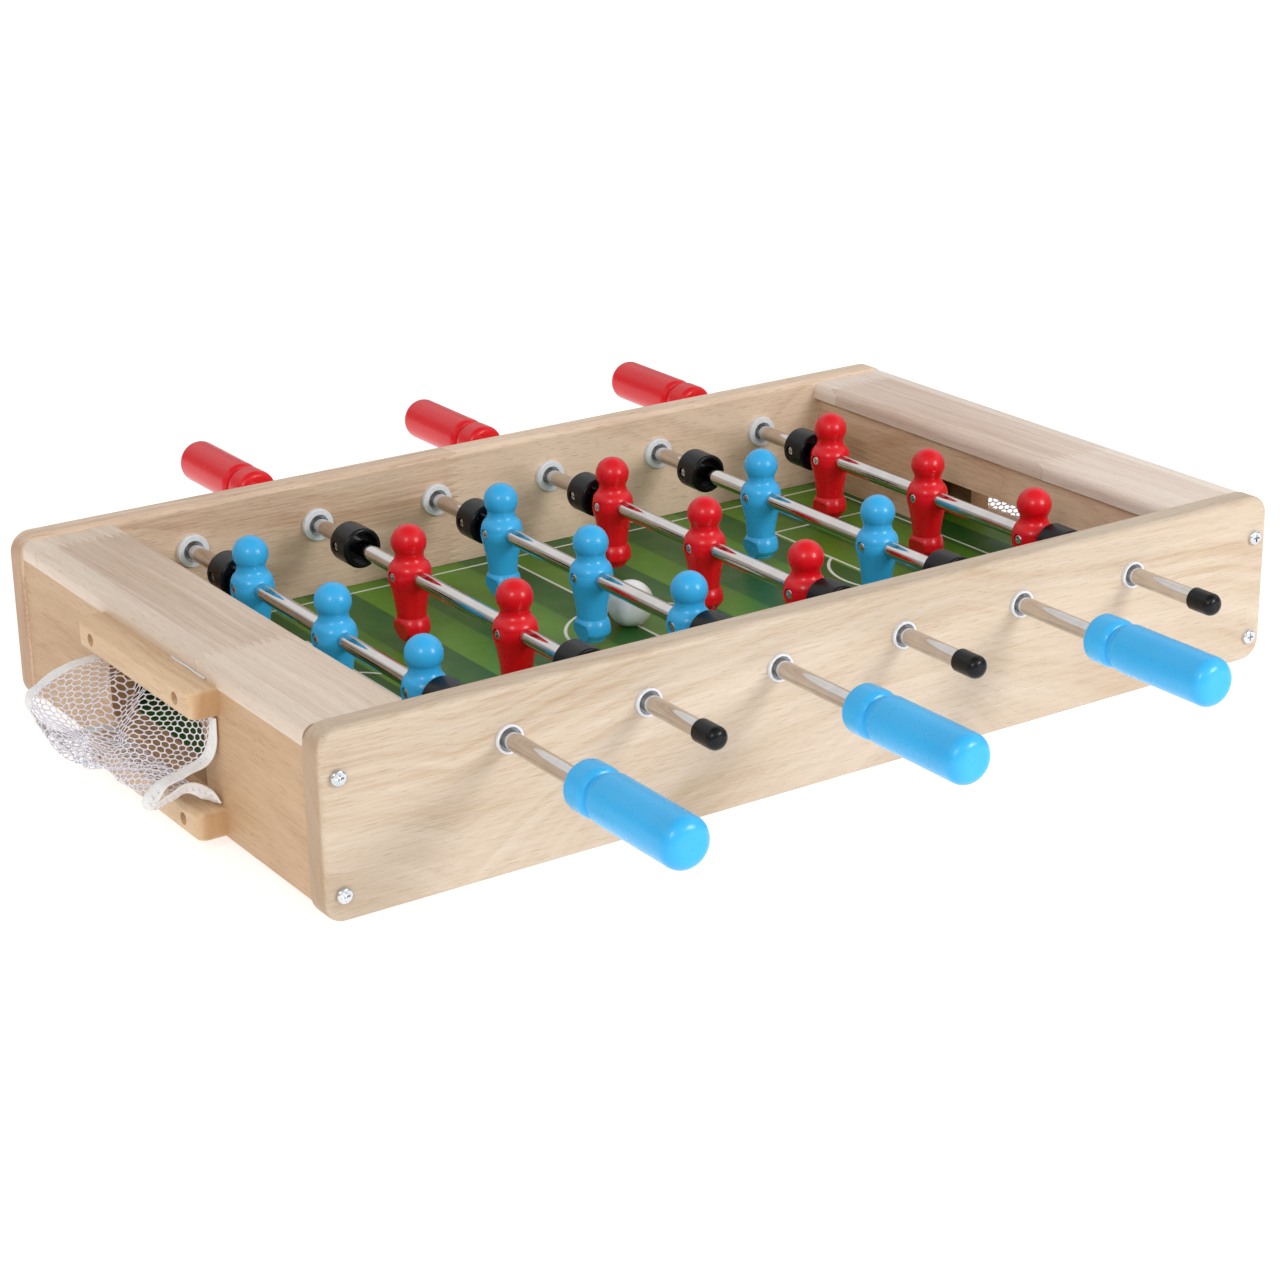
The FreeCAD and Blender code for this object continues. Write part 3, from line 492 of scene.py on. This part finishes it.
dress("front_side_board", wood("front_wood", X, Z, 3.0, FRONT_TONES, 10, 0.11, streaks=0.85))
dress("back_side_board", wood("back_wood", X, Z, 11.0, BACK_TONES, 60, 0.05, ((-28.0, -0.28),), streaks=1.1))
for side, sign in (("left", -1), ("right", 1)):
    edge = sign * RAIL_EDGE
    rail = wood(side + "_rail_wood", Y, X, 5.0 + sign, RAIL_TONES[side], 70, 0.02, RAIL_JOINTS, edge, 0.65)
    dress(side + "_end_rail", rail)
    end = wood(side + "_end_wood", Y, Z, 23.0 + sign, END_TONES, 55, 0.06, ((134.5, -0.15),))
    dress(side + "_end_board", end)
    goal = wood(side + "_goal_wood", Y, Z, 33.0 + sign, GOAL_TONES, 40, 0.05, ((-20.0, 0.15),))
    dress(side + "_goal_board", goal)
dress("net_battens", wood("batten_wood", Y, Z, 41.0, BATTEN_TONES, 90, 0.02))
dress("pitch_board", pitch("printed_pitch"))
dress("frame_screws", zinc)
dress("rod_bushings", milky)
ball_low, ball_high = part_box("ball")
dress("ball", ball_plastic("ball_white", (ball_low.z + ball_high.z) / 2 / MM))
for stem in ("blue_rod_1", "red_rod_2", "blue_rod_3", "red_rod_4", "blue_rod_5", "red_rod_6"):
    team = blue if stem.startswith("blue") else red
    dress(stem, chrome)
    dress(stem + "_handle", team)
    dress(stem + "_end_cap", black)
    dress(stem + "_bumpers", black)
    dress(stem + "_screws", zinc)
    for node in NODES:
        if node.startswith(stem + "_player"):
            dress(node, team)


# ---------------------------------------------------------------- nets

# Shape of the left net: (distance out from the end board, height). Each row follows the cloth from the upper
# batten, out over the bag, and back under its fold to the lower batten.
FRONT_HEM = [
    (0.9, 60.0), (1.7, 47.2), (5.8, 40.8), (15.5, 37.4), (26.5, 34.0), (32.0, 28.6),
    (29.6, 25.6), (23.0, 28.0), (16.4, 30.4), (10.8, 29.2), (4.6, 24.4), (1.2, 20.6),
]
FRONT_MIDDLE = [
    (0.9, 60.0), (4.2, 54.8), (13.0, 49.6), (23.5, 43.6), (32.0, 37.0), (35.4, 31.6),
    (33.4, 28.0), (26.0, 26.8), (18.0, 26.4), (10.0, 25.2), (4.4, 22.6), (1.2, 20.6),
]
BACK_MIDDLE = [
    (0.9, 60.0), (6.0, 56.2), (19.0, 52.6), (33.0, 46.4), (39.2, 38.0), (38.6, 30.4),
    (34.4, 24.2), (26.0, 22.2), (17.0, 22.6), (10.0, 23.4), (4.4, 22.2), (1.2, 20.6),
]
BACK_HEM = [
    (0.9, 60.0), (7.0, 57.0), (24.0, 54.4), (38.0, 48.4), (41.4, 43.4), (39.6, 37.0),
    (34.0, 29.0), (26.0, 24.0), (17.0, 23.4), (9.5, 23.6), (4.4, 22.2), (1.2, 20.6),
]
ROW_PLACES = (0.0, 0.46, 0.76, 1.0)  # where the rows are across the net's width
NET_START, NET_WIDTH, NET_LENGTH = -61.5, 104.0, 95.0
END_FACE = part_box("left_end_board")[0].x / MM

# the knitting is larger than the hung net, and bunched onto it. Thread covers about a third of it
KNIT_WIDTH, KNIT_LENGTH, THREAD_COVER = NET_WIDTH + 6.0, NET_LENGTH + 27.0, 0.33
# how far apart its cells are, half the thread's width, and the thread's thickness
CELL, THREAD_HALF, THREAD_DEPTH = 4.3, 0.23, 0.32

# the cloth keeps below the upper batten and above the lower one, and off the end board
BATTEN_OUT, UPPER_FOOT, LOWER_TOP, END_GAP = 14.2, 59.9, 20.3, 0.7
PLEAT_HEIGHT = 0.8
# the tapes' half thickness, how far their middles are in from the cloth's sides, and the front one's lean in
# degrees
TAPE_HALF, TAPE_INSET, FRONT_TAPE_LEAN = 0.55, 2.2, 62

# creases: two ends on the flat net, width, and height or depth
CREASES = [
    ((70, 1), (44, 44), 4.6, -4.6),
    ((44, 44), (30, 70), 5.0, -2.2),
    ((80, 3), (56, 44), 3.2, 1.8),
    ((58, 2), (34, 40), 3.6, 1.5),
    ((98, 26), (46, 58), 2.6, -1.7),
    ((99, 36), (50, 62), 2.2, 1.5),
    ((98, 46), (48, 66), 2.4, -1.8),
    ((96, 56), (44, 70), 2.2, 1.5),
    ((94, 66), (40, 75), 2.4, -1.6),
    ((90, 76), (30, 80), 2.6, 1.3),
    ((14, 14), (26, 52), 2.6, -1.1),
    ((24, 6), (32, 40), 2.6, 1.0),
    ((60, 48), (12, 60), 2.4, 1.3),
    ((50, 56), (8, 66), 2.4, -1.3),
    ((46, 70), (52, 92), 3.0, 1.1),
    ((74, 72), (70, 93), 3.0, -1.0),
    ((18, 72), (10, 92), 3.0, 0.9),
]

# half of a flat tape's section, from one edge to the other, thicker near the edges. The other half mirrors it
TAPE_SECTION = [
    (-1.0, 0.0), (-0.93, 0.62), (-0.72, 1.0), (-0.3, 0.82), (0.0, 0.72), (0.3, 0.82), (0.72, 1.0), (0.93, 0.62),
]


def eased(share):
    """A share from 0 to 1, made to start and end gently."""
    return share * share * (3 - 2 * share)


def unit(vectors):
    return vectors / np.maximum(np.linalg.norm(vectors, axis=-1, keepdims=True), 1e-9)


def smooth_row(points, count=240):
    """Evenly spaced points along a smooth curve through a row of points."""
    points = np.array(points, float)
    padded = np.vstack([2 * points[0] - points[1], points, 2 * points[-1] - points[-2]])
    curve = []
    for n in range(1, len(padded) - 2):
        p0, p1, p2, p3 = padded[n - 1 : n + 3]
        first, second, third = p2 - p0, 2 * p0 - 5 * p1 + 4 * p2 - p3, 3 * p1 - p0 - 3 * p2 + p3
        for f in np.linspace(0, 1, 24, endpoint=False):
            curve.append(0.5 * (2 * p1 + first * f + second * f**2 + third * f**3))
    curve = np.array(curve + [points[-1]])
    walked = np.concatenate([[0], np.cumsum(np.linalg.norm(np.diff(curve, axis=0), axis=1))])
    even = np.linspace(0, walked[-1], count)
    return np.stack([np.interp(even, walked, curve[:, k]) for k in range(2)], 1)


ROWS = [smooth_row(row) for row in (FRONT_HEM, FRONT_MIDDLE, BACK_MIDDLE, BACK_HEM)]


def ridge(p, q, start, end, width, height):
    """How high a soft crease from start to end is at the flat point (p, q)."""
    start, end = np.array(start, float), np.array(end, float)
    length = np.linalg.norm(end - start)
    along = (end - start) / length
    f = ((p - start[0]) * along[0] + (q - start[1]) * along[1]) / length
    off = (p - start[0]) * -along[1] + (q - start[1]) * along[0]
    fade = np.clip(np.minimum(f, 1 - f) * 4 + 0.35, 0, 1)
    return height * np.exp(-((off / width) ** 2)) * eased(fade)


def base_cloth(p, q):
    """Where the flat point (p, q) lies on the smooth surface through the rows."""
    s = p / NET_WIDTH
    t = np.clip(q / NET_LENGTH, 0, 1) * (len(ROWS[0]) - 1)
    shares = []
    for here in ROW_PLACES:
        share = 1.0
        for other in ROW_PLACES:
            if other != here:
                share = share * (s - other) / (here - other)
        shares.append(share)
    index = np.arange(len(ROWS[0]))
    u = sum(k * np.interp(t, index, row[:, 0]) for k, row in zip(shares, ROWS))
    z = sum(k * np.interp(t, index, row[:, 1]) for k, row in zip(shares, ROWS))
    return np.stack([END_FACE - u, NET_START + p, z], -1)


def cloth_normal(p, q):
    """The direction square to the smooth surface."""
    reach = 1.0
    across = base_cloth(p + reach, q) - base_cloth(p - reach, q)
    down = base_cloth(p, np.minimum(q + reach, NET_LENGTH)) - base_cloth(p, np.maximum(q - reach, 0))
    return unit(np.cross(across, down))


def cloth(p, q):
    """Where the flat point (p across, q down) lies on the hung net."""
    p, q = np.asarray(p, float), np.asarray(q, float)
    lift = sum(ridge(p, q, *crease) for crease in CREASES)
    # fine pleats along the far side, about halfway down
    side = np.clip((p - 34) / 30, 0, 1)
    halfway = np.exp(-(((q - 47) / 16) ** 4)) * np.clip((NET_WIDTH - p) / 8, 0, 1)
    pleats = np.sin(q * 1.1 + 1.2 * np.sin(p * 0.08) + 0.04 * p)
    lift = lift + PLEAT_HEIGHT * pleats * side * halfway
    ends = np.clip(np.minimum(q, NET_LENGTH - q) / 10, 0, 1)
    point = base_cloth(p, q) + cloth_normal(p, q) * (lift * ends)[..., None]
    near = END_FACE - point[..., 0] < BATTEN_OUT
    upper = q < NET_LENGTH / 2
    point[..., 2] = np.where(near & upper, np.minimum(point[..., 2], UPPER_FOOT), point[..., 2])
    point[..., 2] = np.where(near & ~upper, np.maximum(point[..., 2], LOWER_TOP), point[..., 2])
    point[..., 0] = np.minimum(point[..., 0], END_FACE - END_GAP)
    return point


def bunched(place, whole, length, middle, reach, share):
    """Where a place in the whole knitting lies along the hung length, when it is pushed together at middle."""

    def before(end):
        return share * reach * (np.tanh((end - middle) / reach) + np.tanh(middle / reach))

    return length * (place - before(place)) / (whole - before(whole))


def gathered(p, q):
    """Where a place in the knitting lies on the hung net: it is bunched in the fold and on the far side."""
    fold = eased(np.clip((62 - q) / 34, 0, 1))
    hung_p = bunched(p, KNIT_WIDTH, NET_WIDTH, 75 - 0.62 * q, 4.5, 0.72 * fold)
    side = eased(np.clip((hung_p - 26) / 34, 0, 1))
    return hung_p, bunched(q, KNIT_LENGTH, NET_LENGTH, 58.0, 19.0, 0.84 * side)


def new_mesh(name, points, faces, material):
    mesh = bpy.data.meshes.new(name)
    mesh.from_pydata([tuple(p * MM) for p in np.asarray(points, float)], [], faces)
    mesh.update()
    for polygon in mesh.polygons:
        polygon.use_smooth = True
    mesh.materials.append(material)
    piece = bpy.data.objects.new(name, mesh)
    bpy.context.scene.collection.objects.link(piece)
    return piece


def net_mesh(name, material):
    """The knitted part: a lattice of six-sided cells, each a rounded hole with threads between."""
    margin, first_column, least_hole, corner_reach = 0.8, 1.0, 0.15, 1.07
    apothem = CELL / 2
    radius = apothem / math.cos(math.pi / 6)
    points, faces, known = [], [], {}

    def number(p, q):
        """The number of the point at a place in the knitting, which neighbouring cells share."""
        p, q = min(max(p, 0), KNIT_WIDTH), min(max(q, 0), KNIT_LENGTH)
        key = (round(p, 3), round(q, 3))
        if key not in known:
            known[key] = len(points)
            points.append((p, q))
        return known[key]

    def hole_size(p, q):
        """Half the hole's width and height in the knitting, so that the hung thread keeps its thickness."""
        near = 0.5
        (p0, q0), (p1, _), (_, q1) = gathered(p, q), gathered(p + near, q), gathered(p, q + near)
        squashed = ((p1 - p0) / near, (q1 - q0) / near)
        return [max(apothem - THREAD_HALF / share, least_hole * apothem) for share in squashed]

    for column in range(int(KNIT_WIDTH / (1.5 * radius)) + 2):
        centre_p = first_column + column * 1.5 * radius
        for row in range(int(KNIT_LENGTH / CELL) + 2):
            centre_q = row * CELL + (apothem if column % 2 else 0)
            inside_p = margin <= centre_p <= KNIT_WIDTH - margin
            if not (inside_p and margin <= centre_q <= KNIT_LENGTH - margin):
                continue
            half_p, half_q = hole_size(centre_p, centre_q)
            outer, inner = [], []
            for k in range(12):
                cos, sin = math.cos(math.pi / 6 * k), math.sin(math.pi / 6 * k)
                reach, corner = (radius, corner_reach) if k % 2 == 0 else (apothem, 1.0)
                outer.append(number(centre_p + cos * reach, centre_q + sin * reach))
                inner.append(number(centre_p + cos * half_p * corner, centre_q + sin * half_q * corner))
            for k in range(12):
                after = (k + 1) % 12
                face = [outer[k], outer[after], inner[after], inner[k]]
                if len(set(face)) == 4:
                    faces.append(face)
    flat = np.array(points)
    piece = new_mesh(name, cloth(*gathered(flat[:, 0], flat[:, 1])), faces, material)
    thick = piece.modifiers.new("thread", "SOLIDIFY")
    thick.thickness = THREAD_DEPTH * MM
    thick.offset = 0
    return piece


def tape_strip(centre, across, normal, half_width, half_thick, points, faces):
    """Adds a soft-edged flat tape along a run of centre points."""
    section = TAPE_SECTION + [(-g, -h) for g, h in TAPE_SECTION]
    first = len(points)
    size = len(section)
    for c, a, n in zip(centre, across, normal):
        for g, h in section:
            points.append(c + a * (g * half_width) + n * (h * half_thick))
    for row in range(len(centre) - 1):
        for k in range(size):
            here, after = first + row * size, first + (row + 1) * size
            beside = (k + 1) % size
            faces.append([here + k, here + beside, after + beside, after + k])
    last = first + (len(centre) - 1) * size
    faces.append([first + k for k in range(size)][::-1])
    faces.append([last + k for k in range(size)])


def net_hems(name, material):
    """The two side tapes, and the sliver of cloth that shows above the upper batten."""
    points, faces = [], []
    q = np.linspace(0.6, NET_LENGTH - 0.6, 120)
    for edge, inward, half_width, lean in ((0.0, 1, 3.3, FRONT_TAPE_LEAN), (NET_WIDTH, -1, 3.0, 0)):
        p = np.full_like(q, edge) + inward * TAPE_INSET
        middle = cloth(p, q)
        across = unit(cloth(p + 1.2, q) - cloth(p - 1.2, q))
        along = unit(np.gradient(middle, axis=0))
        normal = unit(np.cross(across, along))
        across = unit(np.cross(along, normal))
        flare = 0.35 * np.sin(q * 0.21 + edge) + 0.2 * np.sin(q * 0.47)
        middle = middle + normal * (flare * np.sin(np.pi * q / NET_LENGTH))[:, None]
        leans = np.clip((q - 44) / 12, 0, 1) * np.clip((NET_LENGTH - q) / 8, 0.25, 1)
        turn = np.radians(lean) * leans[:, None]
        cos, sin = np.cos(turn), np.sin(turn)
        across, normal = across * cos + normal * sin, normal * cos - across * sin
        middle[:, 0] = np.minimum(middle[:, 0], END_FACE - 2 * TAPE_HALF)
        tape_strip(middle, across, normal, half_width, TAPE_HALF, points, faces)
    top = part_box("net_battens")[1].z / MM
    off = 0.55
    y = np.linspace(NET_START + 8, NET_START + 40, 24)
    centre = np.stack([np.full_like(y, END_FACE - off), y, top + off + 0.12 * np.sin(y * 0.3)], 1)
    up = np.tile([0.0, 0.0, 1.0], (len(y), 1))
    out = np.tile([-1.0, 0.0, 0.0], (len(y), 1))
    tape_strip(centre, up, out, 0.45, 0.3, points, faces)
    return new_mesh(name, points, faces, material)


def turned(source, name):
    """The same piece for the other end of the table, half a turn round Z."""
    twin = source.copy()
    twin.data = source.data.copy()
    twin.data.transform(Matrix.Rotation(math.pi, 4, "Z"))
    twin.name = twin.data.name = name
    bpy.context.scene.collection.objects.link(twin)
    return twin


left_net = net_mesh("net_left", mesh_thread("net_thread"))
left_hems = net_hems("net_left_hems", tape_cotton("hem_tape"))
right_net = turned(left_net, "net_right")
right_hems = turned(left_hems, "net_right_hems")
for net, hems in ((left_net, left_hems), (right_net, right_hems)):
    for piece in (net, hems):
        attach(piece, "table")
        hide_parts("goal_nets")


# ---------------------------------------------------------------- floor, light, camera

bpy.ops.mesh.primitive_plane_add(size=60, location=(0, 0, -0.0003))
ground = bpy.context.object
ground.name = "floor"
ground.data.materials.append(floor_white("pale_floor"))


def softbox(name, place, width, height, watts):
    """A rectangular lamp that faces the table."""
    lamp = bpy.data.lights.new(name, "AREA")
    lamp.shape = "RECTANGLE"
    lamp.size, lamp.size_y = width, height
    lamp.energy = watts
    holder = bpy.data.objects.new(name, lamp)
    holder.location = place
    holder.rotation_euler = (TABLE_MIDDLE - Vector(place)).to_track_quat("-Z", "Y").to_euler()
    bpy.context.scene.collection.objects.link(holder)


TABLE_MIDDLE = Vector((0, 0, 0.03))
softbox("key", (0.50, -1.22, 0.57), 0.42, 0.42, 7.7)
softbox("second", (-1.38, -1.17, 1.11), 0.40, 0.46, 8)

world = bpy.data.worlds.new("studio")
world.use_nodes = True
sky = world.node_tree
sight = sky.nodes.new("ShaderNodeTexCoord")
rise = sky.nodes.new("ShaderNodeSeparateXYZ")
bands = sky.nodes.new("ShaderNodeValToRGB")
fill_ramp(bands.color_ramp, [(place, grey(level)) for place, level in SKY])
sky.links.new(sight.outputs["Generated"], rise.inputs[0])
sky.links.new(rise.outputs["Z"], bands.inputs[0])
sky.links.new(bands.outputs[0], sky.nodes["Background"].inputs["Strength"])
sky.nodes["Background"].inputs["Color"].default_value = grey(1.0)
bpy.context.scene.world = world
bpy.context.scene.view_settings.view_transform = "Standard"
bpy.context.scene.view_settings.look = "None"

lens = bpy.data.cameras.new("camera")
lens.sensor_fit = "HORIZONTAL"
lens.sensor_width = 36
lens.lens = 81.016
lens.clip_start, lens.clip_end = 0.05, 100
camera = bpy.data.objects.new("camera", lens)
camera_right = Vector((0.829639, -0.55812, -0.014192))
camera_up = Vector((0.207102, 0.28405, 0.936175))
camera_back = Vector((-0.518467, -0.779627, 0.351247))
camera_place = Vector((-0.71618, -1.07184, 0.50224))
turn = Matrix((camera_right, camera_up, camera_back)).transposed().to_4x4()
camera.matrix_world = Matrix.Translation(camera_place) @ turn
bpy.context.scene.collection.objects.link(camera)
bpy.context.scene.camera = camera
